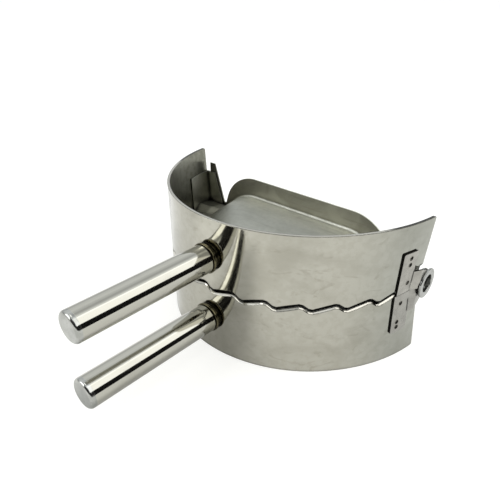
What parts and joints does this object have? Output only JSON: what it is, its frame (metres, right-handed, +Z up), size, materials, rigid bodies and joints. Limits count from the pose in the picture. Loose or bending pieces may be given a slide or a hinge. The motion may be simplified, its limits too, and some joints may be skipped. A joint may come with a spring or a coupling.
{
  "type": "dumpling press",
  "caption": "Hinged half-round dumpling press and round dough cutter in stainless sheet, with wavy crimping edges, a dished pan in each half and tube handles.",
  "frame": {"origin": "middle of the underside of the closed press, on the level its lower rim stands on", "axes": "+X along the hinge line to the right, +Y away from the handles towards the hinge, +Z up"},
  "size_m": [0.1032, 0.1024, 0.0492],
  "materials": {
    "wall_steel": "satin stainless sheet with faint handling smudges",
    "pan_steel": "pressed stainless sheet, soft satin",
    "hinge_steel": "fine brushed stainless sheet, spot welded",
    "bracket_steel": "plain stainless sheet",
    "polished_tube": "mirror-polished stainless tube",
    "handle_fitting": "turned stainless, fine rings",
    "handle_cap": "turned stainless, soft satin face",
    "eyelet_steel": "rolled stainless, smooth satin",
    "screw_steel": "zinc-bright machine screw"
  },
  "bodies": {
    "lower_half": {"lower_wall": "wall_steel", "lower_pan": "pan_steel", "lower_outer_hinge_plate": "hinge_steel", "lower_inner_hinge_plate": "hinge_steel", "lower_right_corner_bracket": "bracket_steel", "lower_left_corner_bracket": "bracket_steel", "lower_handle_tube": "polished_tube", "lower_handle_neck": "handle_fitting", "lower_handle_end_cap": "handle_cap", "lower_handle_screw": "screw_steel", "right_hinge_eyelet": "eyelet_steel", "left_hinge_eyelet": "eyelet_steel", "right_backing_washer": "eyelet_steel", "left_backing_washer": "eyelet_steel"},
    "upper_half": {"upper_wall": "wall_steel", "upper_pan": "pan_steel", "upper_outer_hinge_plate": "hinge_steel", "upper_inner_hinge_plate": "hinge_steel", "upper_right_corner_bracket": "bracket_steel", "upper_left_corner_bracket": "bracket_steel", "upper_handle_tube": "polished_tube", "upper_handle_neck": "handle_fitting", "upper_handle_end_cap": "handle_cap", "upper_handle_screw": "screw_steel"}
  },
  "joints": [
    {"name": "press_hinge", "type": "hinge", "parent": "lower_half", "child": "upper_half", "pos_m": [0, 0.046, 0.0246], "axis": [-1, 0, 0], "range_deg": [0, 180]}
  ]
}
